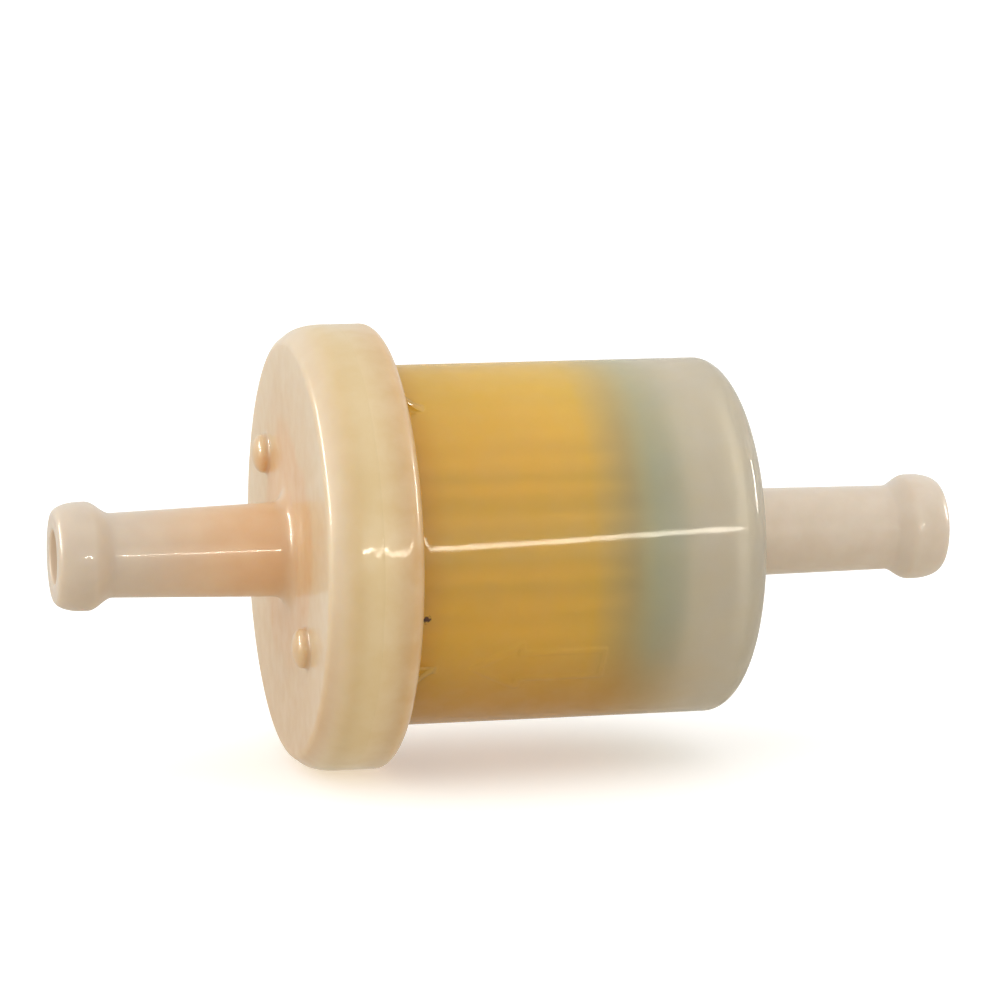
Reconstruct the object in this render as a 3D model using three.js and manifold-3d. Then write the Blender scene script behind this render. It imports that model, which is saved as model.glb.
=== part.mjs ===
// In-line fuel filter for a small engine. Two moulded shells, a cup and a flanged cap, are welded together at
// the flange, and a pleated paper element stands between them. Fuel enters the cup's stem, fills the space
// round the element, passes through the paper into the core, and leaves through the cap's stem.
//
// Units are millimetres. +X runs along the filter's axis, from the outlet stem on the cap to the inlet stem
// on the cup, and +Z is up. The origin is on the axis, midway between the tips of the two stems.
import * as THREE from "three";
import { mergeVertices } from "three/addons/utils/BufferGeometryUtils.js";
import Module from "manifold-3d";

// Driving dimensions: places along the axis.
const TIP = 36.2; // either stem's tip, from the middle
const FACE = -17.8; // the cap's front face
const SEAM = -13.8; // the joint between cap and cup
const FLANGE_BACK = -10.4;
const CUP_END = 18.1; // the cup's closed end, outside

// Driving dimensions: radii and walls.
const FLANGE_R = 17.55;
const CUP_R = 14.22; // outside
const CUP_BORE_R = 13.1;
const CUP_FLOOR = 1.5; // thickness of the closed end
const CAP_PLATE = 1.8; // thickness of the cap's front wall
const CAP_BORE_R = 13.7; // the cap's inside, round the element
const GAP = 0.3; // between pieces that the real filter welds or glues
const SINK = 0.5; // how far moulded detail reaches into the wall that it stands on

// Roundings of the cup: the flange's back edge, the foot of the wall, and the closed end's corner.
const BACK_ROUND = { x: 1.15, r: 1.8 };
const FOOT = 0.4;
const END_ROUND = { x: 2.4, r: 3.8, inside: 2 };

// A hose stem: a tapered tube for a 6.35 mm hose, with a rounded bead at its tip.
const BORE_R = 2.1;
const BEAD = { length: 4.3, radius: 4.25, shoulder: 1.6, crest: 0.5, tipRadius: 3 };
const OUTLET_STEM = { tipRadius: 3.3, rootRadius: 3.7, fillet: 1.2 };
const INLET_STEM = { tipRadius: 3.4, rootRadius: 3.54, fillet: 0.5 };

// The cap's rim: a tight round at the face, then a long shallow one that reaches the full radius at widest.
const RIM = { faceRadius: 15.9, round: 0.9, shoulder: 16.55, slope: 2.6, widest: -14.6 };

// The weld: a tongue on the cup's flange stands in a groove in the cap.
const TONGUE = { inner: 15.2, outer: 16.2, height: 1.5 };
const SEAM_ROUND = 0.4; // rounding of both outer edges at the seam

// Moulded detail.
const PIP = { radius: 1.53, height: 1.15, dome: 0.77, pitch: 10.2, angle: -40.5 };
const GUSSET = { count: 4, width: 1, height: 1.5, toe: 0.15, length: 1.7, angle: 55.4 };
const ARROW = { angle: -34.6, tip: -5.7, neck: -2, tail: 4.85, head: 2.45, shaft: 1.53 };
const ARROW_LINE = { width: 0.4, relief: 0.22 };

// The filter element. The paper runs from one end piece to the other.
const ELEMENT = { radius: 12.7, wall: 0.5, open: -15.4, closed: 11.5 };
const OPEN_RING = { hole: 4.3, floor: 0.9, rim: 1.6 };
const CLOSED_CUP = { floor: 1.0, rim: 4, corner: 0.6 };
const ADHESIVE = 0.7; // depth of the glue bed in each end piece
const PLEATS = { count: 32, outer: 11.8, inner: 6.9, paper: 0.35 };
const FOLD = { outer: 0.45, inner: 0.42, tuck: 0.315 }; // half widths of a fold, and how much less inside it
const SEAM_STRIP = { radius: 6.1, thickness: 0.45, width: 2.0 };
const CORE = { outer: 5.8, inner: 5.0, rows: 4, around: 8, window: 2.4, web: 1.9 };
const SPIGOT = { radius: 3.9, end: -13.2 }; // the cap's inner tube, which holds the open ring

const ROUND = 48; // sides of each round piece
const DEGREE = Math.PI / 180;

const wasm = await Module();
wasm.setup();

// ---- Shapes ----

/** Points [x, r] on a quarter turn of an ellipse, from angle a to angle b in degrees, both ends included. */
function arc(centreX, centreR, halfX, halfR, a, b, steps = 4) {
  return Array.from({ length: steps + 1 }, (_, i) => {
    const t = (a + ((b - a) * i) / steps) * DEGREE;
    return [centreX + halfX * Math.cos(t), centreR + halfR * Math.sin(t)];
  });
}

/** A ring turned about the X axis, from a closed outline of [x, r] points. */
function turned(outline, sides = ROUND) {
  const points = [...outline, outline[0]].map(([x, r]) => new THREE.Vector2(r, x));
  return new THREE.LatheGeometry(points, sides).rotateZ(-Math.PI / 2);
}

/** A plain ring or, with inner at 0, a disc. */
function ring(from, to, outer, inner) {
  if (inner > 0) {
    return turned([[from, inner], [from, outer], [to, outer], [to, inner]]);
  }
  const points = [[from, 0], [from, outer], [to, outer], [to, 0]];
  const profile = points.map(([x, r]) => new THREE.Vector2(r, x));
  return new THREE.LatheGeometry(profile, ROUND).rotateZ(-Math.PI / 2);
}

/** A geometry as a manifold-3d solid. */
function solid(geometry) {
  const bare = geometry.index ? geometry.toNonIndexed() : geometry.clone();
  const placed = new THREE.BufferGeometry().setAttribute("position", bare.getAttribute("position"));
  const merged = mergeVertices(placed, 1e-4);
  return new wasm.Manifold(
    new wasm.Mesh({
      numProp: 3,
      vertProperties: merged.attributes.position.array,
      triVerts: new Uint32Array(merged.index.array),
    }),
  );
}

/** A manifold-3d solid as a geometry. */
function geometryOf(made) {
  const mesh = made.getMesh();
  return new THREE.BufferGeometry()
    .setAttribute("position", new THREE.BufferAttribute(mesh.vertProperties, 3))
    .setIndex(new THREE.BufferAttribute(mesh.triVerts, 1));
}

/** The outline of a stem from its root to its tip, for a stem that points along +X and starts at root. */
function stemOutline(root, stem) {
  const shoulder = TIP - BEAD.length;
  const crest = shoulder + BEAD.shoulder;
  const noseStart = crest + BEAD.crest;
  const foot = stem.rootRadius + stem.fillet;
  return [
    ...arc(root + stem.fillet, foot, stem.fillet, stem.fillet, 180, 270, 3),
    ...arc(crest, stem.tipRadius, BEAD.shoulder, BEAD.radius - stem.tipRadius, 180, 90, 4),
    ...arc(noseStart, BEAD.tipRadius, TIP - noseStart, BEAD.radius - BEAD.tipRadius, 90, 0, 5),
    [TIP, BORE_R],
  ];
}

// ---- The two shells ----

/** The cap: front wall, outlet stem, rim with the weld groove, and the spigot that holds the element. */
function capShell() {
  const skirt = SEAM - GAP / 2;
  const grooveFloor = skirt - TONGUE.height;
  const stem = stemOutline(-FACE, OUTLET_STEM).map(([x, r]) => [-x, r]);
  const outside = [
    ...stem.reverse(),
    ...arc(FACE + RIM.round, RIM.faceRadius, RIM.round, RIM.round, 180, 110, 3),
    ...arc(RIM.widest, RIM.shoulder, RIM.slope, FLANGE_R - RIM.shoulder, 165, 90, 4),
    ...arc(skirt - SEAM_ROUND, FLANGE_R - SEAM_ROUND, SEAM_ROUND, SEAM_ROUND, 90, 0, 2),
  ];
  const inside = [
    [skirt, TONGUE.outer + GAP],
    [grooveFloor, TONGUE.outer + GAP],
    [grooveFloor, TONGUE.inner - GAP],
    [skirt, TONGUE.inner - GAP],
    [skirt, CAP_BORE_R],
    [FACE + CAP_PLATE, CAP_BORE_R],
    [FACE + CAP_PLATE, SPIGOT.radius],
    [SPIGOT.end, SPIGOT.radius],
    [SPIGOT.end, BORE_R],
  ];
  return solid(turned([...outside, ...inside]));
}

/** A domed pip on the cap's face, at an angle about the axis from the -Y side. */
function pip(angle) {
  const dome = arc(PIP.height - PIP.dome, 0, PIP.dome, PIP.radius, 90, 0, 4);
  const outline = [[-SINK, 0], [-SINK, PIP.radius], ...dome];
  const profile = outline.map(([x, r]) => new THREE.Vector2(r, x));
  profile[profile.length - 1].x = 0;
  const made = new THREE.LatheGeometry(profile, 16).rotateZ(Math.PI / 2);
  const around = angle * DEGREE;
  made.translate(FACE, -PIP.pitch * Math.cos(around), PIP.pitch * Math.sin(around));
  return solid(made);
}

function flangeCap() {
  return geometryOf(capShell().add(pip(PIP.angle)).add(pip(PIP.angle + 180)));
}

/** The cup: flange with its weld tongue, round wall, closed end and inlet stem. */
function cupShell() {
  const front = SEAM + GAP / 2;
  const outside = [
    [front, TONGUE.outer],
    ...arc(front + SEAM_ROUND, FLANGE_R - SEAM_ROUND, SEAM_ROUND, SEAM_ROUND, 180, 90, 2),
    ...arc(FLANGE_BACK - BACK_ROUND.x, FLANGE_R - BACK_ROUND.r, BACK_ROUND.x, BACK_ROUND.r, 90, 0, 4),
    ...arc(FLANGE_BACK + FOOT, CUP_R + FOOT, FOOT, FOOT, 180, 270, 2),
    ...arc(CUP_END - END_ROUND.x, CUP_R - END_ROUND.r, END_ROUND.x, END_ROUND.r, 90, 0, 5),
    ...stemOutline(CUP_END, INLET_STEM),
  ];
  const floor = CUP_END - CUP_FLOOR;
  const round = END_ROUND.inside;
  const inside = [
    [floor, BORE_R],
    ...arc(floor - round, CUP_BORE_R - round, round, round, 0, 90, 3),
    [front, CUP_BORE_R],
    [front, TONGUE.inner],
    [front - TONGUE.height + GAP, TONGUE.inner],
    [front - TONGUE.height + GAP, TONGUE.outer],
  ];
  return solid(turned([...outside, ...inside]));
}

/** A small triangular web between the flange's back face and the cup's wall. */
function gusset(angle) {
  const root = CUP_R - SINK;
  const web = new THREE.Shape([
    new THREE.Vector2(FLANGE_BACK - SINK, root),
    new THREE.Vector2(FLANGE_BACK + GUSSET.length, root),
    new THREE.Vector2(FLANGE_BACK + GUSSET.length, CUP_R + GUSSET.toe),
    new THREE.Vector2(FLANGE_BACK, CUP_R + GUSSET.height),
    new THREE.Vector2(FLANGE_BACK - SINK, CUP_R + GUSSET.height),
  ]);
  const made = new THREE.ExtrudeGeometry(web, { depth: GUSSET.width, bevelEnabled: false });
  // The web is drawn in the XY plane, with Y away from the axis, and then turned about X.
  made.translate(0, 0, -GUSSET.width / 2).rotateX(Math.PI - angle * DEGREE);
  return solid(made);
}

/** The flow arrow's outline, pointing to the outlet, drawn smaller all round by inset. */
function arrowPath(inset, Kind) {
  const slope = ARROW.head / (ARROW.neck - ARROW.tip);
  const tip = ARROW.tip + inset / Math.sin(Math.atan(slope));
  const neck = ARROW.neck - inset;
  const wing = (neck - tip) * slope;
  const half = ARROW.shaft - inset;
  const tail = ARROW.tail - inset;
  const lower = [[neck, -wing], [neck, -half], [tail, -half]];
  const upper = [[tail, half], [neck, half], [neck, wing]];
  return new Kind([[tip, 0], ...lower, ...upper].map(([x, y]) => new THREE.Vector2(x, y)));
}

/** The raised outline of the flow arrow on the cup's wall. */
function flowArrow() {
  const shape = arrowPath(0, THREE.Shape);
  shape.holes.push(arrowPath(ARROW_LINE.width, THREE.Path));
  const made = new THREE.ExtrudeGeometry(shape, { depth: CUP_R, bevelEnabled: false });
  // It is drawn in the XY plane and pushed out along Z, so a turn about X points it away from the axis.
  made.translate(0, 0, CUP_R / 2).rotateX((90 - ARROW.angle) * DEGREE);
  const skin = solid(ring(ARROW.tip - SINK, ARROW.tail + SINK, CUP_R + ARROW_LINE.relief, CUP_R - SINK));
  return solid(made).intersect(skin);
}

function housingCup() {
  let made = cupShell().add(flowArrow());
  for (let i = 0; i < GUSSET.count; i += 1) {
    made = made.add(gusset(GUSSET.angle + (i * 360) / GUSSET.count));
  }
  return geometryOf(made);
}

// ---- The filter element ----

const OPEN_FLOOR = ELEMENT.open + OPEN_RING.floor;
const CLOSED_FLOOR = ELEMENT.closed - CLOSED_CUP.floor;
const PAPER_START = OPEN_FLOOR + GAP + ADHESIVE + GAP;
const PAPER_END = CLOSED_FLOOR - GAP - ADHESIVE - GAP;
const INSIDE_RIM = ELEMENT.radius - ELEMENT.wall;

/** The open end piece: a flat ring with a low rim, over the cap's spigot. */
function openEndRing() {
  return turned([
    [ELEMENT.open, OPEN_RING.hole],
    [ELEMENT.open, ELEMENT.radius],
    [ELEMENT.open + OPEN_RING.rim, ELEMENT.radius],
    [ELEMENT.open + OPEN_RING.rim, INSIDE_RIM],
    [OPEN_FLOOR, INSIDE_RIM],
    [OPEN_FLOOR, OPEN_RING.hole],
  ]);
}

/** The closed end piece: a shallow cup that the pleats' ends stand in. */
function closedEndCup() {
  const rim = ELEMENT.closed - CLOSED_CUP.rim;
  const corner = CLOSED_CUP.corner;
  const outline = [
    [CLOSED_FLOOR, 0],
    [CLOSED_FLOOR, INSIDE_RIM],
    [rim, INSIDE_RIM],
    [rim, ELEMENT.radius],
    ...arc(ELEMENT.closed - corner, ELEMENT.radius - corner, corner, corner, 90, 0, 3),
    [ELEMENT.closed, 0],
  ];
  const profile = outline.map(([x, r]) => new THREE.Vector2(r, x));
  return new THREE.LatheGeometry(profile, ROUND).rotateZ(-Math.PI / 2);
}

/** Points of one face of the folded paper, two at each fold, for half widths given at both folds. */
function foldLine(outer, outerHalf, inner, innerHalf) {
  const points = [];
  for (let i = 0; i < PLEATS.count; i += 1) {
    const crest = ((2 * Math.PI) / PLEATS.count) * i;
    const valley = crest + Math.PI / PLEATS.count;
    for (const [middle, radius, half] of [[crest, outer, outerHalf], [valley, inner, innerHalf]]) {
      for (const side of [-1, 1]) {
        const angle = middle + (side * half) / radius;
        points.push(new THREE.Vector2(radius * Math.cos(angle), radius * Math.sin(angle)));
      }
    }
  }
  return points;
}

/** The folded paper: a star-shaped tube of even thickness. */
function pleatedPaper() {
  const { outer, inner, paper } = PLEATS;
  const shape = new THREE.Shape(foldLine(outer, FOLD.outer, inner + paper, FOLD.inner - FOLD.tuck));
  shape.holes.push(new THREE.Path(foldLine(outer - paper, FOLD.outer - FOLD.tuck, inner, FOLD.inner)));
  const length = PAPER_END - PAPER_START;
  const made = new THREE.ExtrudeGeometry(shape, { depth: length, bevelEnabled: false });
  return made.rotateY(Math.PI / 2).translate(PAPER_START, 0, 0);
}

/** The strip glued along the paper's side seam, inside the tube. */
function seamStrip() {
  const length = PAPER_END - PAPER_START;
  const made = new THREE.BoxGeometry(length, SEAM_STRIP.width, SEAM_STRIP.thickness);
  return made.translate(PAPER_START + length / 2, 0, -SEAM_STRIP.radius - SEAM_STRIP.thickness / 2);
}

/** The core: a tube with rows of windows, which keeps the pleats from folding inwards. */
function supportCore() {
  const from = OPEN_FLOOR + GAP;
  const to = CLOSED_FLOOR - GAP;
  const pitch = (to - from - CORE.web) / CORE.rows;
  let made = solid(ring(from, to, CORE.outer, CORE.inner));
  for (let row = 0; row < CORE.rows; row += 1) {
    const middle = from + CORE.web + pitch * row + (pitch - CORE.web) / 2;
    for (let i = 0; i < CORE.around / 2; i += 1) {
      const slot = new THREE.BoxGeometry(pitch - CORE.web, CORE.window, 3 * CORE.outer);
      slot.rotateX(((i + 0.5) * 2 * Math.PI) / CORE.around).translate(middle, 0, 0);
      made = made.subtract(solid(slot));
    }
  }
  return geometryOf(made);
}

// ---- The assembly ----

const milky = new THREE.MeshStandardMaterial({ color: 0xe4d8bf, roughness: 0.25, metalness: 0 });
const paper = new THREE.MeshStandardMaterial({ color: 0xd9a441, roughness: 0.9, metalness: 0 });
const tinted = new THREE.MeshStandardMaterial({ color: 0x6f8f8c, roughness: 0.5, metalness: 0 });
const glue = new THREE.MeshStandardMaterial({ color: 0xd8c28a, roughness: 0.4, metalness: 0 });
const natural = new THREE.MeshStandardMaterial({ color: 0xe8e2d0, roughness: 0.4, metalness: 0 });

const filter = new THREE.Group();

/** Adds one named piece of the filter. */
function piece(name, geometry, material) {
  const mesh = new THREE.Mesh(geometry, material);
  mesh.name = name;
  filter.add(mesh);
}

const closedGlueStart = CLOSED_FLOOR - GAP - ADHESIVE;
const glueRadius = INSIDE_RIM - GAP;

piece("flange_cap", flangeCap(), milky);
piece("housing_cup", housingCup(), milky);
piece("open_end_ring", openEndRing(), natural);
piece("open_end_adhesive", ring(OPEN_FLOOR + GAP, PAPER_START - GAP, glueRadius, CORE.outer + GAP), glue);
piece("pleated_paper", pleatedPaper(), paper);
piece("paper_seam_strip", seamStrip(), glue);
piece("support_core", supportCore(), natural);
piece("closed_end_adhesive", ring(closedGlueStart, CLOSED_FLOOR - GAP, glueRadius, CORE.outer + GAP), glue);
piece("closed_end_cup", closedEndCup(), tinted);

export default filter;
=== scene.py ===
"""The looks of an in-line fuel filter: a milky cup and a flanged cap, with a pleated paper element inside.

Lengths are in millimetres until a mesh is made, and Blender's own are in metres. The filter's axis is X,
with the outlet stem at -X and the inlet stem at +X. Z is up, and the camera looks from the -Y side.
"""
import math

import bmesh
import bpy
import numpy as np
from mathutils import Matrix, Vector


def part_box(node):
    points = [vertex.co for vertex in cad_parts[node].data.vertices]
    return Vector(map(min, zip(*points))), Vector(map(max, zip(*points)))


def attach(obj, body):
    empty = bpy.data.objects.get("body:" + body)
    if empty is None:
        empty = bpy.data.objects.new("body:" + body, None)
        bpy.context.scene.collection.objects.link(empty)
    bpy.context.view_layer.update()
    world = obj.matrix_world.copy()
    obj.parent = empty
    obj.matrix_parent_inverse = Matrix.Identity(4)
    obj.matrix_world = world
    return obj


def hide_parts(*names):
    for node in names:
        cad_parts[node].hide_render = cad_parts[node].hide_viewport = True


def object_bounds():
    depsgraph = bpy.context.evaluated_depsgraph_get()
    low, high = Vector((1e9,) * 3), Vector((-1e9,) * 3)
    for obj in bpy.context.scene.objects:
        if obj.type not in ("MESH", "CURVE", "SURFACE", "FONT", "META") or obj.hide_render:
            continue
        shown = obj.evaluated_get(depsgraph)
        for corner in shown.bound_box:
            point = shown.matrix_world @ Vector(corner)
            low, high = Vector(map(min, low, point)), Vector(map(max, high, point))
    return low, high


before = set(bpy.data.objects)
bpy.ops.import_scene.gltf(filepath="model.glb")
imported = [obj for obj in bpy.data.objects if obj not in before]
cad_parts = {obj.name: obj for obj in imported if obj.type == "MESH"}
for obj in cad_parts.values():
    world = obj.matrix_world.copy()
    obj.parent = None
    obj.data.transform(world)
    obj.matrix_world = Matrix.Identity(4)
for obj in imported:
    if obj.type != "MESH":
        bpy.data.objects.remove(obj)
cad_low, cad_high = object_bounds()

MM = 0.001
SEED = 7


def cad_box(node):
    """Lowest and highest corner of a CAD node, in millimetres."""
    low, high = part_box(node)
    return low / MM, high / MM


_, CUP_HIGH = cad_box("housing_cup")
PAPER_LOW, PAPER_HIGH = cad_box("pleated_paper")
END_LOW, END_HIGH = cad_box("closed_end_cup")

# Places along the axis.
TIP = CUP_HIGH.x
FACE = -17.8  # the cap's front face
SEAM = -13.8  # where the cap meets the cup
FLANGE_BACK = -10.4
CUP_END = 18.1

# Radii and walls.
FLANGE_R = CUP_HIGH.z
CUP_R = 14.22
CUP_BORE_R = 13.1
CUP_FLOOR = 1.5
CAP_PLATE = 1.8
SEAM_GAP = 0.002  # the weld closes the joint to a hairline

# A hose stem, and the bead at its tip.
BORE_R = 2.1
BORE_LIP = 0.25
BEAD = {"length": 4.5, "crest": 2.6, "nose": 2.1, "radius": 4.25, "tip_radius": 3.35}
OUTLET_STEM = {"tip_radius": 3.3, "root_radius": 3.7, "fillet": 1.2}
INLET_STEM = {"tip_radius": 3.4, "root_radius": 3.54, "fillet": 0.5}

# Roundings of the cap's rim, of the seam, and of the cup's flange and closed end.
RIM = {
    "face_radius": 15.9, "round": 0.9, "round_to": 135,
    "shoulder": 16.55, "slope": 2.6, "slope_from": 150, "widest": -14.6,
}
SEAM_ROUND = {"length": 0.4, "depth": 0.015}
BACK_ROUND = {"x": 1.15, "r": 1.8}
FOOT = 0.4  # the fillet between the flange and the wall
END_ROUND = {"x": 2.4, "r": 3.8, "inside": 2.0}

# Moulded detail. Angles are in degrees about the axis, from the -Y side upwards.
PIP = {"radius": 1.53, "height": 1.15, "dome": 0.5, "foot": 0.35, "pitch": 10.2, "angle": -40.5}
GUSSET = {
    "count": 4, "angle": 55.4, "width": 0.7, "height": 1.3, "length": 1.7,
    "hollow": 1.4, "flat": 0.6, "crown": 0.12,
}
SUNK = 0.4  # how deep a pip's or a gusset's root lies in the piece it stands on
ARROW = {"angle": -34.6, "tip": -5.5, "neck": -1.9, "tail": 4.7, "head": 2.25, "shaft": 1.35}
ARROW_LINE = {"half_width": 0.26, "relief": 0.07}

# The welded tongue and groove, and the cap's spigot inside the element.
TONGUE = {"inner": 15.2, "outer": 16.2, "height": 1.5}
GROOVE_PLAY = 0.3
SPIGOT = {"radius": 3.9, "end": -13.2}

# The filter element.
ELEMENT_R = END_HIGH.z
ELEMENT_PLAY = 1.0  # how much wider than the element the cap's pocket for it is
PLEATS = {
    "count": 32, "crest": 12.05, "valley": 7.1, "thickness": 0.35,
    "waver": 0.12, "swell": 0.6, "pinch": 0.15, "lean": 0.16,
}
FOLD = {"steps": 20, "rows": 36, "peak": 0.995, "straight": 0.6, "rounded": 0.4, "sharp": 1.25}
END_CUP = {"floor": 1.0, "wall": 0.5, "lip": 0.25, "corner": 0.7}

SIDES = 192  # round the axis


# ---- Meshes ----


def arc(centre_x, centre_r, half_x, half_r, start, end, steps=8):
    """Points (x, r) on an ellipse's arc, from one angle in degrees to another."""
    angles = [math.radians(start + (end - start) * i / steps) for i in range(steps + 1)]
    return [(centre_x + half_x * math.cos(a), centre_r + half_r * math.sin(a)) for a in angles]


def line(start, end, pitch):
    """Points evenly spaced between two points (x, r), both left out."""
    count = max(1, round(math.dist(start, end) / pitch))
    return [tuple(a + (b - a) * i / count for a, b in zip(start, end)) for i in range(1, count)]


def even_angles(count=SIDES):
    return [2 * math.pi * i / count for i in range(count)]


def on_axis(x, radius, angle):
    """The point at an angle in radians about the axis, from the -Y side upwards."""
    return x, -radius * math.cos(angle), radius * math.sin(angle)


def mesh_object(name, points, faces, sharp=40):
    """A new object from points in millimetres and faces, smooth except at edges sharper than an angle."""
    mesh = bpy.data.meshes.new(name)
    mesh.from_pydata([[c * MM for c in p] for p in points], [], faces)
    shaped = bmesh.new()
    shaped.from_mesh(mesh)
    bmesh.ops.remove_doubles(shaped, verts=shaped.verts, dist=1e-7)
    bmesh.ops.recalc_face_normals(shaped, faces=shaped.faces)
    shaped.to_mesh(mesh)
    shaped.free()
    mesh.polygons.foreach_set("use_smooth", [True] * len(mesh.polygons))
    mesh.set_sharp_from_angle(angle=math.radians(sharp))
    made = bpy.data.objects.new(name, mesh)
    bpy.context.scene.collection.objects.link(made)
    return made


def turned(outline, angles=None, raise_by=None):
    """Points and faces of a closed outline (x, r) turned about the axis.

    raise_by(x, r, angle) adds to the radius.
    """
    angles = angles or even_angles()
    points = []
    for x, radius in outline:
        for angle in angles:
            extra = raise_by(x, radius, angle) if raise_by else 0
            points.append(on_axis(x, radius + extra, angle))
    count = len(angles)
    faces = []
    for i in range(len(outline)):
        here, there = i * count, (i + 1) % len(outline) * count
        for j in range(count):
            k = (j + 1) % count
            faces.append((here + j, here + k, there + k, there + j))
    return points, faces


def united(base, *added):
    """The base object with other closed objects merged into its surface. The others are removed."""
    for other in added:
        merge = base.modifiers.new("merge", "BOOLEAN")
        merge.operation = "UNION"
        merge.solver = "EXACT"
        merge.object = other
    evaluated = base.evaluated_get(bpy.context.evaluated_depsgraph_get())
    mesh = bpy.data.meshes.new_from_object(evaluated)
    base.modifiers.clear()
    base.data = mesh
    for other in added:
        bpy.data.objects.remove(other)
    return base


def eased(t):
    """From 0 to 1 with a soft start and end."""
    t = min(max(t, 0.0), 1.0)
    return t * t * (3 - 2 * t)


def stem_outline(root, stem):
    """The outside of a stem that points along +X, from its root to its bore at the tip."""
    foot = stem["root_radius"] + stem["fillet"]
    shoulder = TIP - BEAD["length"]
    crest = TIP - BEAD["crest"]
    nose = TIP - BEAD["nose"]
    steps = 10
    rise = BEAD["radius"] - stem["tip_radius"]
    back = [
        (shoulder + (crest - shoulder) * i / steps, stem["tip_radius"] + rise * eased(i / steps))
        for i in range(steps + 1)
    ]
    start = (root + stem["fillet"], stem["root_radius"])
    nose_depth = BEAD["radius"] - BEAD["tip_radius"]
    return [
        *arc(root + stem["fillet"], foot, stem["fillet"], stem["fillet"], 180, 270),
        *line(start, back[0], 1.0),
        *back,
        *arc(nose, BEAD["tip_radius"], TIP - nose, nose_depth, 90, 0, 12),
        *line((TIP, BEAD["tip_radius"]), (TIP, BORE_R), 0.5),
        *arc(TIP - BORE_LIP, BORE_R + BORE_LIP, BORE_LIP, BORE_LIP, 0, -90, 4),
    ]


def seam_arc(x, start, end):
    """The shallow rounding of a shell's edge at the seam."""
    length, depth = SEAM_ROUND["length"], SEAM_ROUND["depth"]
    return arc(x, FLANGE_R - depth, length, depth, start, end, 8)


def cap_outline():
    """The cap's closed outline: stem, face and rim outside, then the groove, plate, spigot and bore."""
    skirt = SEAM - SEAM_GAP / 2
    groove = skirt - TONGUE["height"]
    plate = FACE + CAP_PLATE
    stem = [(-x, r) for x, r in stem_outline(-FACE, OUTLET_STEM)]
    face_radius, rounding = RIM["face_radius"], RIM["round"]
    rise = FLANGE_R - RIM["shoulder"]
    stem_foot = OUTLET_STEM["root_radius"] + OUTLET_STEM["fillet"]
    outside = [
        *stem[::-1],
        *line((FACE, stem_foot), (FACE, face_radius), 0.5),
        *arc(FACE + rounding, face_radius, rounding, rounding, 180, RIM["round_to"], 8),
        *arc(RIM["widest"], RIM["shoulder"], RIM["slope"], rise, RIM["slope_from"], 90, 10),
        *seam_arc(skirt - SEAM_ROUND["length"], 90, 0),
    ]
    inside = [
        (skirt, TONGUE["outer"] + GROOVE_PLAY),
        (groove, TONGUE["outer"] + GROOVE_PLAY),
        (groove, TONGUE["inner"] - GROOVE_PLAY),
        (skirt, TONGUE["inner"] - GROOVE_PLAY),
        (skirt, ELEMENT_R + ELEMENT_PLAY),
        (plate, ELEMENT_R + ELEMENT_PLAY),
        (plate, SPIGOT["radius"]),
        (SPIGOT["end"], SPIGOT["radius"]),
        (SPIGOT["end"], BORE_R),
        *line((SPIGOT["end"], BORE_R), (-TIP + BORE_LIP, BORE_R), 1.5),
    ]
    return outside + inside


def pip(angle):
    """A domed pip on the cap's face, with a small fillet at its foot. Its outline is (outwards, radius)."""
    foot, radius = PIP["foot"], PIP["radius"]
    dome = radius * PIP["dome"]
    overlap = 0.03
    sides = 40
    outline = [(-SUNK, radius + foot)]
    outline += arc(foot - overlap, radius + foot, foot, foot, 180, 270, 6)
    outline += arc(PIP["height"] - dome, 0, dome, radius, 90, 0, 9)
    points, faces = [], []
    for out, r in outline:
        for a in even_angles(sides):
            points.append([out, r * math.cos(a), r * math.sin(a)])
    for i in range(len(outline) - 1):
        for j in range(sides):
            k = (j + 1) % sides
            faces.append((i * sides + j, i * sides + k, (i + 1) * sides + k, (i + 1) * sides + j))
    faces.append(tuple(range(sides)))
    _, centre_y, centre_z = on_axis(0, PIP["pitch"], math.radians(angle))
    placed = [(FACE - out, centre_y + y, centre_z + z) for out, y, z in points]
    return placed, faces


def arrow_line():
    """The flow arrow's outline, (x, across), pointing to the outlet, as a closed path."""
    neck, tail, shaft = ARROW["neck"], ARROW["tail"], ARROW["shaft"]
    half = [(neck, ARROW["head"]), (neck, shaft), (tail, shaft)]
    mirrored = [(x, -across) for x, across in half[::-1]]
    return [(ARROW["tip"], 0.0), *half, *mirrored]


def distance_to_path(x, across, path):
    """Distance from a point to the nearest side of a closed path."""
    nearest = math.inf
    for a, b in zip(path, path[1:] + path[:1]):
        run = (b[0] - a[0], b[1] - a[1])
        length = run[0] ** 2 + run[1] ** 2
        t = min(max(((x - a[0]) * run[0] + (across - a[1]) * run[1]) / length, 0.0), 1.0)
        nearest = min(nearest, math.hypot(x - a[0] - t * run[0], across - a[1] - t * run[1]))
    return nearest


def arrow_relief(x, radius, angle):
    """How far the moulded arrow lifts the cup's outer wall."""
    if abs(radius - CUP_R) > 0.01 or not ARROW["tip"] - 1 < x < ARROW["tail"] + 1:
        return 0
    turn = (angle - math.radians(ARROW["angle"]) + math.pi) % (2 * math.pi) - math.pi
    across = turn * CUP_R
    if abs(across) > ARROW["head"] + 1:
        return 0
    near = distance_to_path(x, across, arrow_line())
    return ARROW_LINE["relief"] * eased(1.5 - near / ARROW_LINE["half_width"])


def cup_angles():
    """Angles about the axis, closer together where the arrow is."""
    middle = math.radians(ARROW["angle"])
    reach = (ARROW["head"] + 0.8) / CUP_R
    fine = np.linspace(-reach, reach, 64)
    coarse = np.linspace(reach, 2 * math.pi - reach, SIDES)[1:-1]
    return [middle + t for t in [*fine, *coarse]]


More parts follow.
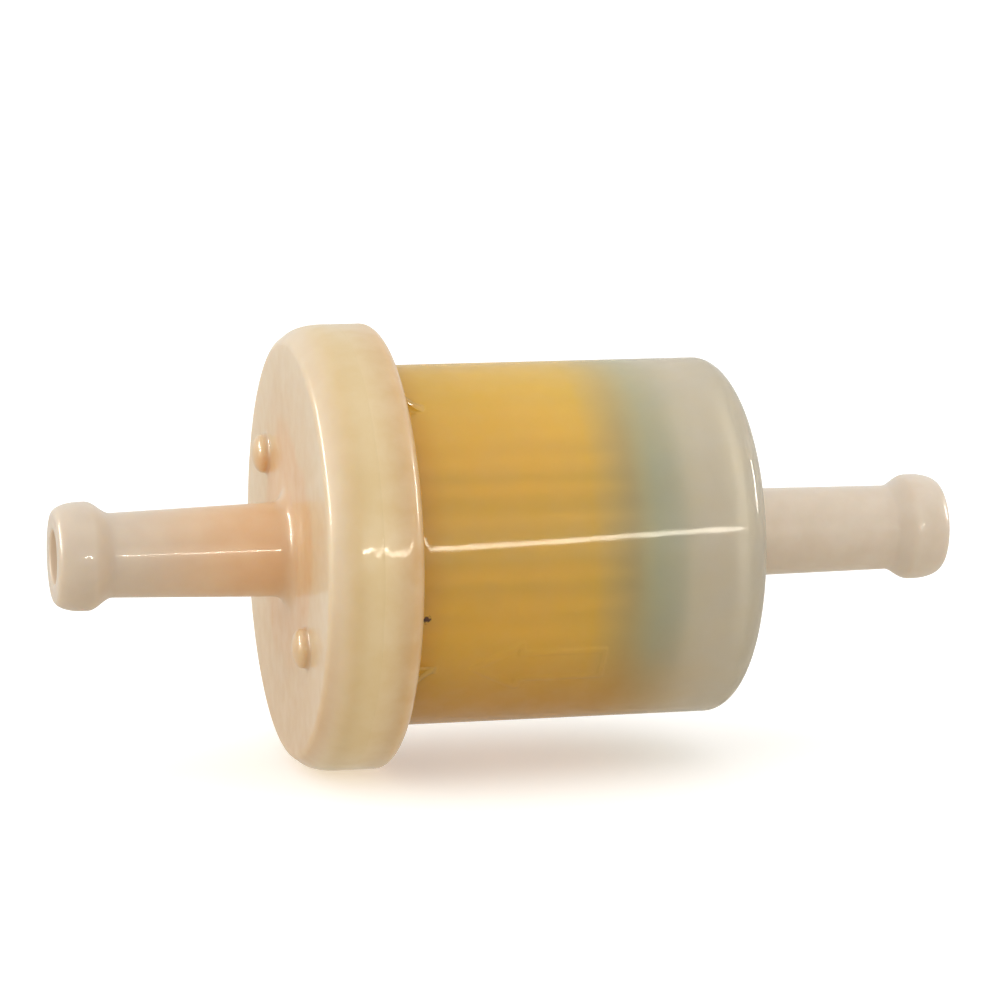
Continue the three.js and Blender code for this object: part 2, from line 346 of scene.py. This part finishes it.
def cup_outline():
    """The cup's closed outline: flange, wall, end and stem outside, then bore, inner faces and tongue."""
    front = SEAM + SEAM_GAP / 2
    floor = CUP_END - CUP_FLOOR
    inside = END_ROUND["inside"]
    flange_front = (front + SEAM_ROUND["length"], FLANGE_R)
    flange_back = (FLANGE_BACK - BACK_ROUND["x"], FLANGE_R)
    wall_start = (FLANGE_BACK + FOOT, CUP_R)
    wall_end = (CUP_END - END_ROUND["x"], CUP_R)
    arrow_start = (ARROW["tip"] - 0.6, CUP_R)
    arrow_end = (ARROW["tail"] + 0.6, CUP_R)
    face_edge = CUP_R - END_ROUND["r"]
    stem_foot = INLET_STEM["root_radius"] + INLET_STEM["fillet"]
    return [
        (front, TONGUE["outer"]),
        *seam_arc(flange_front[0], 180, 90),
        *line(flange_front, flange_back, 0.5),
        *arc(flange_back[0], FLANGE_R - BACK_ROUND["r"], BACK_ROUND["x"], BACK_ROUND["r"], 90, 0, 12),
        *arc(wall_start[0], CUP_R + FOOT, FOOT, FOOT, 180, 270, 5),
        *line(wall_start, arrow_start, 0.6),
        arrow_start,
        *line(arrow_start, arrow_end, 0.09),
        arrow_end,
        *line(arrow_end, wall_end, 0.6),
        *arc(wall_end[0], face_edge, END_ROUND["x"], END_ROUND["r"], 90, 0, 16),
        *line((CUP_END, face_edge), (CUP_END, stem_foot), 0.6),
        *stem_outline(CUP_END, INLET_STEM),
        *line((TIP - BORE_LIP, BORE_R), (floor, BORE_R), 1.5),
        (floor, BORE_R),
        *line((floor, BORE_R), (floor, CUP_BORE_R - inside), 0.8),
        *arc(floor - inside, CUP_BORE_R - inside, inside, inside, 0, 90, 10),
        *line((floor - inside, CUP_BORE_R), (front, CUP_BORE_R), 0.8),
        (front, CUP_BORE_R),
        (front, TONGUE["inner"]),
        (front - TONGUE["height"] + GROOVE_PLAY, TONGUE["inner"]),
        (front - TONGUE["height"] + GROOVE_PLAY, TONGUE["outer"]),
    ]


def gusset(angle):
    """A small web between the flange's back and the cup's wall, with its free edge crowned."""
    half = GUSSET["width"] / 2
    flat = half * GUSSET["flat"]
    root = CUP_R - SUNK
    start = FLANGE_BACK - SUNK
    end = FLANGE_BACK + GUSSET["length"]
    turn = math.radians(angle)
    steps = 8
    slope = []
    for i in range(steps + 1):
        t = i / steps
        height = GUSSET["height"] * (1 - t) ** GUSSET["hollow"]
        slope.append((FLANGE_BACK + GUSSET["length"] * t, CUP_R + height))
    profile = [(start, root), (start, slope[0][1]), *slope, (end, root)]
    points, faces = [], []
    for side, crown in ((-half, 0), (-flat, GUSSET["crown"]), (flat, GUSSET["crown"]), (half, 0)):
        for x, radius in profile:
            lift = radius + (crown if radius > CUP_R else 0)
            y = -lift * math.cos(turn) + side * math.sin(turn)
            z = lift * math.sin(turn) + side * math.cos(turn)
            points.append((x, y, z))
    count = len(profile)
    for layer in range(3):
        here, there = layer * count, (layer + 1) * count
        for i in range(count):
            k = (i + 1) % count
            faces.append((here + i, here + k, there + k, there + i))
    faces.append(tuple(range(count)))
    faces.append(tuple(range(3 * count, 4 * count)))
    return points, faces


def fold_radius(turn, crest, valley):
    """Radius of the folded sheet at a part of one pleat, with rounded folds and nearly straight flanks."""
    wave = math.cos(2 * math.pi * turn)
    swing = math.asin(math.sin(math.pi / 2 * wave) * FOLD["peak"]) / math.asin(FOLD["peak"])
    held = max(-1.0, min(1.0, wave * FOLD["sharp"]))
    mixed = FOLD["straight"] * swing + FOLD["rounded"] * held
    return (crest + valley) / 2 + (crest - valley) / 2 * mixed


def pleated_paper():
    """The folded paper: a star-shaped tube whose pleats lean and swell a little unevenly."""
    chance = np.random.default_rng(SEED)
    lean = chance.normal(0, 1, PLEATS["count"]) * PLEATS["waver"]
    swell = chance.normal(0, 1, PLEATS["count"]) * PLEATS["waver"]
    per_pleat, rows = FOLD["steps"], FOLD["rows"]
    count = PLEATS["count"] * per_pleat
    layers = []
    for inset in (0.0, PLEATS["thickness"]):
        grid = []
        for row in range(rows + 1):
            along = row / rows
            x = PAPER_LOW.x + (PAPER_HIGH.x - PAPER_LOW.x) * along
            belly = math.sin(math.pi * along)
            ring = []
            for i in range(count):
                pleat = i // per_pleat
                swollen = PLEATS["swell"] * swell[pleat] * belly
                crest = PLEATS["crest"] - inset + swollen - PLEATS["pinch"] * (1 - belly)
                valley = PLEATS["valley"] - inset
                radius = fold_radius(i % per_pleat / per_pleat - 0.5, crest, valley)
                high = (radius - valley) / (crest - valley)
                leant = lean[pleat] * high * belly * math.sin(math.pi * high) * PLEATS["lean"]
                ring.append(on_axis(x, radius, 2 * math.pi * i / count + leant))
            grid.append(ring)
        layers.append(grid)
    points = [p for grid in layers for ring in grid for p in ring]
    size = (rows + 1) * count
    faces = []
    for row in range(rows):
        for i in range(count):
            k = (i + 1) % count
            a, b = row * count + i, row * count + k
            faces.append((a, b, b + count, a + count))
            faces.append((size + a + count, size + b + count, size + b, size + a))
    for row in (0, rows):
        for i in range(count):
            a, b = row * count + i, row * count + (i + 1) % count
            faces.append((a, size + a, size + b, b))
    return points, faces


def end_cup_outline():
    """The element's closed end piece: a floor with a rim, its lip and corner rounded."""
    wall, lip, corner = END_CUP["wall"], END_CUP["lip"], END_CUP["corner"]
    floor = END_HIGH.x - END_CUP["floor"]
    outer, inner = ELEMENT_R, ELEMENT_R - wall
    rim = END_LOW.x + lip
    bend = END_HIGH.x - corner
    centre = 0.01
    return [
        (floor, centre),
        *line((floor, centre), (floor, inner), 1.0),
        (floor, inner),
        *line((floor, inner), (rim, inner), 0.6),
        *arc(rim, (outer + inner) / 2, lip, wall / 2, 270, 90, 8),
        *line((rim, outer), (bend, outer), 0.6),
        *arc(bend, outer - corner, corner, corner, 90, 0, 8),
        *line((END_HIGH.x, outer - corner), (END_HIGH.x, centre), 1.0),
        (END_HIGH.x, centre),
    ]


# ---- Materials ----


def colour(red, green, blue):
    """A colour given as it looks on a screen, 0 to 255, as a shader takes it."""

    def straight(value):
        value /= 255
        return value / 12.92 if value <= 0.04045 else ((value + 0.055) / 1.055) ** 2.4

    return straight(red), straight(green), straight(blue), 1.0


def new_material(name, **settings):
    """A material and its Principled shader, with uniform settings on the shader's own sockets."""
    made = bpy.data.materials.new(name)
    made.use_nodes = True
    shader = made.node_tree.nodes["Principled BSDF"]
    for socket, value in settings.items():
        shader.inputs[socket.replace("_", " ")].default_value = value
    return made, shader


def place(tree):
    """The point on the surface, in millimetres, as x, y and z sockets and as a vector."""
    where = tree.nodes.new("ShaderNodeTexCoord")
    scaled = tree.nodes.new("ShaderNodeVectorMath")
    scaled.operation = "SCALE"
    scaled.inputs["Scale"].default_value = 1 / MM
    tree.links.new(where.outputs["Object"], scaled.inputs[0])
    split = tree.nodes.new("ShaderNodeSeparateXYZ")
    tree.links.new(scaled.outputs[0], split.inputs[0])
    return scaled.outputs[0], split.outputs["X"], split.outputs["Y"], split.outputs["Z"]


def from_axis(tree):
    """Distance from the filter's axis, in millimetres."""
    _, _, y, z = place(tree)
    across = tree.nodes.new("ShaderNodeCombineXYZ")
    tree.links.new(y, across.inputs["Y"])
    tree.links.new(z, across.inputs["Z"])
    length = tree.nodes.new("ShaderNodeVectorMath")
    length.operation = "LENGTH"
    tree.links.new(across.outputs[0], length.inputs[0])
    return length.outputs["Value"]


def noise(tree, size, detail=3.0, stretch=(1, 1, 1)):
    """Noise from 0 to 1 with features of about size millimetres, stretched along each axis."""
    vector, _, _, _ = place(tree)
    mapping = tree.nodes.new("ShaderNodeMapping")
    mapping.inputs["Scale"].default_value = [1 / (size * s) for s in stretch]
    made = tree.nodes.new("ShaderNodeTexNoise")
    made.inputs["Scale"].default_value = 1.0
    made.inputs["Detail"].default_value = detail
    tree.links.new(vector, mapping.inputs["Vector"])
    tree.links.new(mapping.outputs[0], made.inputs["Vector"])
    return made.outputs["Fac"]


def ranged(tree, value, low, high, to_low=0.0, to_high=1.0, smooth=True):
    """A value mapped from low..high to to_low..to_high and clamped there."""
    made = tree.nodes.new("ShaderNodeMapRange")
    made.interpolation_type = "SMOOTHSTEP" if smooth else "LINEAR"
    made.inputs["From Min"].default_value = low
    made.inputs["From Max"].default_value = high
    made.inputs["To Min"].default_value = to_low
    made.inputs["To Max"].default_value = to_high
    tree.links.new(value, made.inputs["Value"])
    return made.outputs["Result"]


def maths(tree, operation, first, second):
    """One maths node on two sockets or numbers."""
    made = tree.nodes.new("ShaderNodeMath")
    made.operation = operation
    for socket, value in zip(made.inputs, (first, second)):
        if isinstance(value, (int, float)):
            socket.default_value = value
        else:
            tree.links.new(value, socket)
    return made.outputs[0]


def ramp(tree, factor, stops, interpolation="EASE"):
    """Colours along a factor, from (position, colour) stops."""
    made = tree.nodes.new("ShaderNodeValToRGB")
    made.color_ramp.interpolation = interpolation
    elements = made.color_ramp.elements
    while len(elements) < len(stops):
        elements.new(0.5)
    for element, (position, tint) in zip(elements, stops):
        element.position = position
        element.color = tint
    tree.links.new(factor, made.inputs["Fac"])
    return made.outputs["Color"]


def along_axis(tree, stops):
    """Colours along the axis, from (x in millimetres, colour) stops."""
    _, x, _, _ = place(tree)
    first, last = stops[0][0], stops[-1][0]
    factor = ranged(tree, x, first, last, smooth=False)
    return ramp(tree, factor, [((at - first) / (last - first), tint) for at, tint in stops], "LINEAR")


def blended(tree, factor, first, second):
    """Two colours mixed by a factor."""
    made = tree.nodes.new("ShaderNodeMix")
    made.data_type = "RGBA"
    for socket, value in ((made.inputs[0], factor), (made.inputs[6], first), (made.inputs[7], second)):
        if isinstance(value, (int, float, tuple)):
            socket.default_value = value
        else:
            tree.links.new(value, socket)
    return made.outputs[2]


def bumped(tree, shader, height, distance, sockets=("Normal",)):
    """Bump from a height of 0 to 1 that stands for distance millimetres."""
    made = tree.nodes.new("ShaderNodeBump")
    made.inputs["Strength"].default_value = 1.0
    made.inputs["Distance"].default_value = distance * MM
    tree.links.new(height, made.inputs["Height"])
    for socket in sockets:
        tree.links.new(made.outputs["Normal"], shader.inputs[socket])


def moulded_surface(tree, shader, rough_low, rough_high):
    """What every moulded surface has: faint flow waviness, a fine texture, and uneven gloss."""
    waves = noise(tree, 3.5, 2.0, (2.5, 1, 1))
    grain = noise(tree, 0.25, 4.0)
    height = maths(tree, "ADD", waves, maths(tree, "MULTIPLY", grain, 0.12))
    bumped(tree, shader, height, 0.02, ("Normal", "Coat Normal"))
    gloss = ranged(tree, noise(tree, 1.6, 5.0), 0.3, 0.7, rough_low, rough_high)
    tree.links.new(gloss, shader.inputs["Roughness"])


PALE_CREAM = colour(243, 230, 207)
GLOSS = {
    "IOR": 1.5, "Specular_IOR_Level": 0.25,
    "Coat_Weight": 0.35, "Coat_Roughness": 0.06, "Coat_IOR": 1.5,
}
DEEP = {"Subsurface_Scale": 0.0014, "Subsurface_Radius": (1.0, 0.8, 0.55)}
SPECK = {"x": FLANGE_BACK + 0.7, "angle": -15.35, "size": 0.34}


def mottle(tree, high=1.0):
    """The cloudiness of natural nylon, from 0 to high."""
    return ranged(tree, noise(tree, 2.2, 4.0), 0.25, 0.75, 0.0, high)


def thin_beside_seam(tree, shader):
    """Fades the depth of the plastic out beside the seam, where light would be lost in the joint."""
    _, x, _, _ = place(tree)
    away = maths(tree, "ABSOLUTE", maths(tree, "SUBTRACT", x, SEAM), 0.0)
    tree.links.new(ranged(tree, away, 0.3, 2.4, 0.0, 0.9), shader.inputs["Subsurface Weight"])


def cap_plastic():
    """Natural nylon over glue: pinkish round the stem's root, paler towards the rim, with painted shade
    making the face darker low down.
    """
    made, shader = new_material("cap_plastic", **DEEP, **GLOSS)
    tree = made.node_tree
    thin_beside_seam(tree, shader)
    radius = from_axis(tree)
    uneven = ranged(tree, noise(tree, 6.0, 2.0), 0.3, 0.7, -0.9, 0.9)
    outwards = ranged(tree, maths(tree, "ADD", radius, uneven), 3.0, 17.0, smooth=False)
    by_radius = ramp(tree, outwards, [
        (0.0, colour(226, 189, 147)),
        (0.12, colour(223, 184, 140)),
        (0.38, colour(216, 174, 127)),
        (0.52, colour(216, 188, 150)),
        (1.0, colour(222, 202, 172)),
    ])
    _, x, _, z = place(tree)
    band = blended(tree, ranged(tree, x, FACE + 0.4, FACE + 2.4), by_radius, colour(221, 195, 146))
    stem = blended(tree, ranged(tree, x, FACE - 15.0, FACE - 1.5), colour(209, 195, 178), band)
    # Painted shade: the lower part of the cap's face is darkened, as if lit from above.
    low = ranged(tree, z, -16.0, 0.0, 0.8, 0.0)
    on_face = ranged(tree, x, FACE + 0.1, FACE + 1.6, 1.0, 0.0)
    painted_low_shade = blended(tree, maths(tree, "MULTIPLY", low, on_face), stem, colour(204, 168, 124))
    tree.links.new(blended(tree, mottle(tree, 0.14), painted_low_shade, PALE_CREAM), shader.inputs["Base Color"])
    moulded_surface(tree, shader, 0.3, 0.42)
    return made


def flange_plastic():
    """The cup's flange: the same nylon, with the yellow of the paper coming through at its back edge."""
    made, shader = new_material("flange_plastic", **DEEP, **GLOSS)
    tree = made.node_tree
    thin_beside_seam(tree, shader)
    body = along_axis(tree, [
        (SEAM, colour(221, 195, 146)),
        (FLANGE_BACK - 1.4, colour(214, 182, 134)),
        (FLANGE_BACK - 0.5, colour(214, 177, 128)),
        (FLANGE_BACK + 0.1, colour(218, 172, 114)),
    ])
    tree.links.new(blended(tree, mottle(tree, 0.2), body, PALE_CREAM), shader.inputs["Base Color"])
    moulded_surface(tree, shader, 0.3, 0.42)
    return made


def bore_plastic():
    """The inside of the stems, with the faint glow of light that has come through their walls."""
    made, shader = new_material("bore_plastic", IOR=1.5, Specular_IOR_Level=0.25, Emission_Strength=0.12)
    shader.inputs["Emission Color"].default_value = colour(220, 196, 170)
    tree = made.node_tree
    cloud = noise(tree, 1.5, 3.0)
    tint = blended(tree, cloud, colour(208, 188, 164), colour(216, 198, 176))
    tree.links.new(tint, shader.inputs["Base Color"])
    tree.links.new(ranged(tree, cloud, 0.3, 0.7, 0.35, 0.5), shader.inputs["Roughness"])
    return made


def stem_plastic():
    """The inlet stem: solid nylon without paper or glue behind it, so cooler than the cap."""
    made, shader = new_material("stem_plastic", Subsurface_Weight=0.9, **DEEP, **GLOSS)
    shader.inputs["Subsurface Radius"].default_value = (1.0, 0.8, 0.6)
    tree = made.node_tree
    tint = blended(tree, mottle(tree), colour(217, 203, 185), colour(222, 210, 194))
    tree.links.new(tint, shader.inputs["Base Color"])
    moulded_surface(tree, shader, 0.3, 0.42)
    return made


def speck(tree):
    """1 in a small dirt speck on the cup's wall, 0 round it."""
    vector, _, _, _ = place(tree)
    spot = tree.nodes.new("ShaderNodeVectorMath")
    spot.operation = "DISTANCE"
    spot.inputs[1].default_value = on_axis(SPECK["x"], CUP_R, math.radians(SPECK["angle"]))
    tree.links.new(vector, spot.inputs[0])
    ragged = ranged(tree, noise(tree, 0.25), 0.3, 0.7, -0.12, 0.12)
    distance = maths(tree, "ADD", spot.outputs["Value"], ragged)
    return ranged(tree, distance, SPECK["size"] * 0.6, SPECK["size"], 1.0, 0.0)


def wall_plastic():
    """The cup's thin wall: milky, so the element behind it shows as soft colours, with painted shade making
    it browner low down.
    """
    made, shader = new_material(
        "wall_plastic", Transmission_Weight=0.62, IOR=1.5, Specular_IOR_Level=0.25,
        Coat_Weight=0.4, Coat_Roughness=0.05, Coat_IOR=1.5,
    )
    tree = made.node_tree
    milk = along_axis(tree, [
        (FLANGE_BACK, colour(246, 194, 62)),
        (-8.0, colour(252, 212, 76)),
        (3.4, colour(251, 214, 84)),
        (6.4, colour(226, 204, 136)),
        (8.6, colour(212, 208, 174)),
        (10.6, colour(216, 211, 188)),
        (12.8, colour(226, 218, 200)),
        (CUP_END, colour(224, 217, 201)),
    ])
    _, x, _, z = place(tree)
    # Painted shade: over the paper the wall turns browner towards the bottom, as if lit from above.
    low = ranged(tree, z, -13.5, -5.0, 1.0, 0.0)
    over_paper = ranged(tree, x, 5.0, 15.0, 1.0, 0.0)
    milk_with_painted_shade = blended(tree, maths(tree, "MULTIPLY", low, over_paper), milk, colour(226, 168, 40))
    cloud = ranged(tree, noise(tree, 2.6, 4.0), 0.25, 0.75, 0.0, 0.16)
    clean = blended(tree, cloud, milk_with_painted_shade, colour(232, 206, 140))
    tree.links.new(blended(tree, speck(tree), clean, colour(70, 44, 28)), shader.inputs["Base Color"])
    moulded_surface(tree, shader, 0.58, 0.7)
    return made


def wall_inside():
    """The cup's inner faces: clear but rough, so that the milk is counted once."""
    made, shader = new_material("wall_inside", Transmission_Weight=1.0, IOR=1.5, Specular_IOR_Level=0.5)
    tree = made.node_tree
    tint = blended(tree, noise(tree, 2.0), colour(250, 246, 236), colour(244, 238, 224))
    tree.links.new(tint, shader.inputs["Base Color"])
    tree.links.new(ranged(tree, noise(tree, 1.2), 0.3, 0.7, 0.42, 0.55), shader.inputs["Roughness"])
    return made


def filter_paper():
    """Resin-cured filter paper: warm yellow fibres, painted shade darkening it down in the folds, greyer
    where it is potted.
    """
    made, shader = new_material("filter_paper", Specular_IOR_Level=0.3, Sheen_Weight=0.1)
    tree = made.node_tree
    body = along_axis(tree, [
        (PAPER_LOW.x, colour(235, 168, 34)),
        (-7.0, colour(255, 210, 48)),
        (4.4, colour(255, 212, 54)),
        (7.2, colour(196, 180, 110)),
        (PAPER_HIGH.x, colour(150, 160, 136)),
    ])
    fibres = ranged(tree, noise(tree, 0.35, 6.0, (3, 1, 1)), 0.3, 0.7)
    # Painted shade: the paper is darker towards the fold valleys, nearer the axis.
    fold = ranged(tree, from_axis(tree), PLEATS["valley"], PLEATS["crest"], 0.5, 0.0)
    shaded = blended(tree, fold, body, colour(166, 108, 40))
    speckled = blended(tree, maths(tree, "MULTIPLY", fibres, 0.18), shaded, colour(250, 214, 140))
    tree.links.new(speckled, shader.inputs["Base Color"])
    tree.links.new(ranged(tree, fibres, 0, 1, 0.75, 0.95), shader.inputs["Roughness"])
    bumped(tree, shader, fibres, 0.05)
    return made


def end_plastic():
    """The element's closed end piece: blue-grey moulding, a little mottled, and paler at its closed end."""
    made, shader = new_material("end_plastic", Specular_IOR_Level=0.4, Coat_Weight=0.2, Coat_Roughness=0.3)
    tree = made.node_tree
    body = along_axis(tree, [
        (END_LOW.x, colour(112, 136, 134)),
        (END_LOW.x + 2.6, colour(118, 140, 136)),
        (END_HIGH.x, colour(178, 186, 172)),
    ])
    cloud = ranged(tree, noise(tree, 1.8, 5.0), 0.3, 0.7, 0.0, 0.3)
    tree.links.new(blended(tree, cloud, body, colour(168, 180, 168)), shader.inputs["Base Color"])
    moulded_surface(tree, shader, 0.45, 0.6)
    return made


def glue():
    """Cured adhesive: amber and glossy, a little cloudy and rippled."""
    made, shader = new_material(
        "glue", Subsurface_Weight=0.4, Subsurface_Scale=0.0006, Coat_Weight=0.5, Coat_Roughness=0.15,
    )
    tree = made.node_tree
    cloud = ranged(tree, noise(tree, 1.4, 4.0), 0.3, 0.7)
    tint = blended(tree, cloud, colour(206, 164, 96), colour(226, 192, 134))
    tree.links.new(tint, shader.inputs["Base Color"])
    moulded_surface(tree, shader, 0.25, 0.45)
    return made


def inner_plastic():
    """Natural nylon of the element's open ring and core, seen only through other pieces."""
    made, shader = new_material("inner_plastic", Subsurface_Weight=0.5, Subsurface_Scale=0.0008)
    tree = made.node_tree
    cloud = ranged(tree, noise(tree, 2.0, 4.0), 0.3, 0.7)
    tint = blended(tree, cloud, colour(226, 214, 186), colour(238, 228, 206))
    tree.links.new(tint, shader.inputs["Base Color"])
    moulded_surface(tree, shader, 0.35, 0.5)
    return made


def floor_paint():
    """Matt near-white studio paper with a trace of tone."""
    made, shader = new_material("floor_paint", Specular_IOR_Level=0.1, Roughness=0.9, Emission_Strength=0.3)
    shader.inputs["Emission Color"].default_value = (1.0, 1.0, 1.0, 1.0)
    tree = made.node_tree
    cloud = noise(tree, 60.0, 3.0)
    tint = blended(tree, cloud, colour(249, 249, 248), colour(252, 252, 251))
    tree.links.new(tint, shader.inputs["Base Color"])
    return made


# ---- Pieces ----

NEAR = 0.1  # how close a face's centre is to the radius or plane that it is counted with
END_NEAR = 0.05  # the same at the cup's end, where the rounding begins
SKIN = 0.3  # faces within this of the wall's radius are on its outside
FLANGE, WALL, STEM, INSIDE, BORE = range(5)


def finished(piece, slot, node, *materials):
    """Gives a new piece its materials and its body, and hides the CAD node that it stands for. Its slot is
    not used.
    """
    for material in materials:
        piece.data.materials.append(material)
    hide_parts(node)
    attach(piece, "root")
    return piece


def across_axis(face):
    """Where a face is, in millimetres: x, its distance from the axis, and how much it faces outwards."""
    x, y, z = face.center / MM
    return x, math.hypot(y, z), face.normal.y * y + face.normal.z * z


def make_cap():
    """The cap, with one material for its stem's bore and one for the rest."""
    cap = mesh_object("cap_shell", *turned(cap_outline()))
    pips = [mesh_object("pip", *pip(PIP["angle"] + turn)) for turn in (0, 180)]
    cap = united(cap, *pips)
    for face in cap.data.polygons:
        _, radius, _ = across_axis(face)
        face.material_index = 1 if radius < BORE_R + NEAR else 0
    return finished(cap, "cap_plastic", "flange_cap", cap_plastic(), bore_plastic())


def cup_part(face):
    """Which part of the cup a face is on: FLANGE, WALL, STEM, INSIDE or BORE."""
    x, radius, outwards = across_axis(face)
    floor = CUP_END - CUP_FLOOR
    if radius < BORE_R + NEAR:
        return BORE
    if x > CUP_END - END_NEAR and radius < BEAD["radius"] + NEAR:
        return STEM
    if x <= FLANGE_BACK:
        return FLANGE
    if radius <= CUP_R - SKIN and x < floor + NEAR and (outwards < 0 or x > floor - NEAR):
        return INSIDE
    return WALL


def make_cup():
    """The cup, with one material for each of its parts."""
    cup = mesh_object("cup_shell", *turned(cup_outline(), cup_angles(), arrow_relief))
    turns = [GUSSET["angle"] + i * 360 / GUSSET["count"] for i in range(GUSSET["count"])]
    cup = united(cup, *[mesh_object("gusset", *gusset(turn)) for turn in turns])
    materials = (flange_plastic(), wall_plastic(), stem_plastic(), wall_inside(), bore_plastic())
    for face in cup.data.polygons:
        face.material_index = cup_part(face)
    return finished(cup, "cup_plastic", "housing_cup", *materials)


def make_paper():
    piece = mesh_object("paper_pleats", *pleated_paper(), sharp=80)
    return finished(piece, "filter_paper", "pleated_paper", filter_paper())


def make_end_cup():
    piece = mesh_object("element_end", *turned(end_cup_outline()))
    return finished(piece, "closed_end_plastic", "closed_end_cup", end_plastic())


def repaint(node, material):
    """A better material for a CAD node whose shape is right."""
    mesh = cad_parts[node].data
    mesh.materials.clear()
    mesh.materials.append(material)


def repaint_kept_nodes():
    adhesive, plain = glue(), inner_plastic()
    for node in ("open_end_adhesive", "closed_end_adhesive", "paper_seam_strip"):
        repaint(node, adhesive)
    for node in ("open_end_ring", "support_core"):
        repaint(node, plain)


# ---- Studio ----

CAMERA = {"azimuth": -14.267, "elevation": 7.691, "place": (-81.012, -316.753, 47.433), "lens": 149.5}
FLOOR = {"radius": 9000, "sides": 96}
WARM = (1.0, 0.93, 0.82)
WARMER = (1.0, 0.9, 0.76)
AMBER = (1.0, 0.9, 0.74)


def make_camera():
    """The camera at the photograph's angle, looking from the outlet's side and a little from above."""
    azimuth, elevation = math.radians(CAMERA["azimuth"]), math.radians(CAMERA["elevation"])
    level = math.cos(elevation)
    back = Vector((math.sin(azimuth) * level, -math.cos(azimuth) * level, math.sin(elevation)))
    data = bpy.data.cameras.new("camera")
    data.lens = CAMERA["lens"]
    data.sensor_width = 36.0
    data.clip_start, data.clip_end = 0.01, 50
    camera = bpy.data.objects.new("camera", data)
    camera.location = [c * MM for c in CAMERA["place"]]
    camera.rotation_mode = "QUATERNION"
    camera.rotation_quaternion = (-back).to_track_quat("-Z", "Y")
    bpy.context.scene.collection.objects.link(camera)
    bpy.context.scene.camera = camera


def make_floor():
    """A wide plain disc that the flange touches, seen by the camera but not lighting the filter."""
    radius, sides, height = FLOOR["radius"], FLOOR["sides"], cad_low.z / MM
    points = [(radius * math.cos(a), radius * math.sin(a), height) for a in even_angles(sides)]
    floor = mesh_object("floor", points, [tuple(range(sides))])
    floor.data.materials.append(floor_paint())
    floor.visible_diffuse = False
    floor.visible_transmission = False
    floor.visible_glossy = False


def make_lamp(name, start, end, width, radiance, tint, only_gloss=False):
    """A rectangular lamp that runs from one point to another, in millimetres, and faces the filter.

    With only_gloss, it shows as a glint and does not light the plastic.
    """
    data = bpy.data.lights.new(name, "AREA")
    data.shape = "RECTANGLE"
    run = Vector(end) - Vector(start)
    data.size, data.size_y = run.length * MM, width * MM
    data.energy = radiance * math.pi * data.size * data.size_y
    data.color = tint
    lamp = bpy.data.objects.new(name, data)
    middle = (Vector(start) + Vector(end)) / 2
    away = middle.normalized()
    along = (run - away * run.dot(away)).normalized()
    turn = Matrix((along, away.cross(along), away)).transposed().to_4x4()
    lamp.matrix_world = Matrix.Translation(middle * MM) @ turn
    lamp.visible_camera = False
    lamp.visible_diffuse = not only_gloss
    lamp.visible_transmission = not only_gloss
    bpy.context.scene.collection.objects.link(lamp)


def make_world():
    """Even white light, warmer and dimmer from below."""
    world = bpy.data.worlds.new("studio")
    bpy.context.scene.world = world
    world.use_nodes = True
    tree = world.node_tree
    background = tree.nodes["Background"]
    where = tree.nodes.new("ShaderNodeTexCoord")
    split = tree.nodes.new("ShaderNodeSeparateXYZ")
    tree.links.new(where.outputs["Generated"], split.inputs[0])
    height = ranged(tree, split.outputs["Z"], -1.0, 1.0, smooth=False)
    stops = [
        (0.0, (0.71, 0.64, 0.53, 1)),
        (0.46, (0.77, 0.72, 0.65, 1)),
        (0.5, (0.86, 0.86, 0.85, 1)),
        (1.0, (0.93, 0.92, 0.91, 1)),
    ]
    tint = ramp(tree, height, stops, "LINEAR")
    tree.links.new(tint, background.inputs["Color"])
    background.inputs["Strength"].default_value = 1.0


def make_lamps():
    """Soft lamps that light the filter, and narrow ones that draw the long streak and the glints."""
    make_lamp("overhead", (-340, -160, 620), (460, -160, 620), 600, 0.35, WARM)
    make_lamp("left_fill", (-520, -200, 60), (-440, 160, 60), 300, 1.5, WARM)
    make_lamp("front_fill", (-250, -600, 100), (250, -600, 100), 300, 0.65, WARM)
    make_lamp("bar", (72, -420, 24), (150, -420, 84), 15, 34.0, AMBER, only_gloss=True)
    make_lamp("low_bar", (-30, -420, 38), (68, -420, 46), 14, 60.0, WARMER, only_gloss=True)
    make_lamp("right_window", (500, -20, 60), (470, 60, 190), 45, 60.0, WARM, only_gloss=True)
    make_lamp("left_window", (-481, -103, 90), (-340, 190, 250), 90, 34.0, WARM, only_gloss=True)


make_camera()
make_world()
make_lamps()
make_floor()
make_cap()
make_cup()
make_paper()
make_end_cup()
repaint_kept_nodes()
bpy.context.scene.view_settings.view_transform = "Standard"
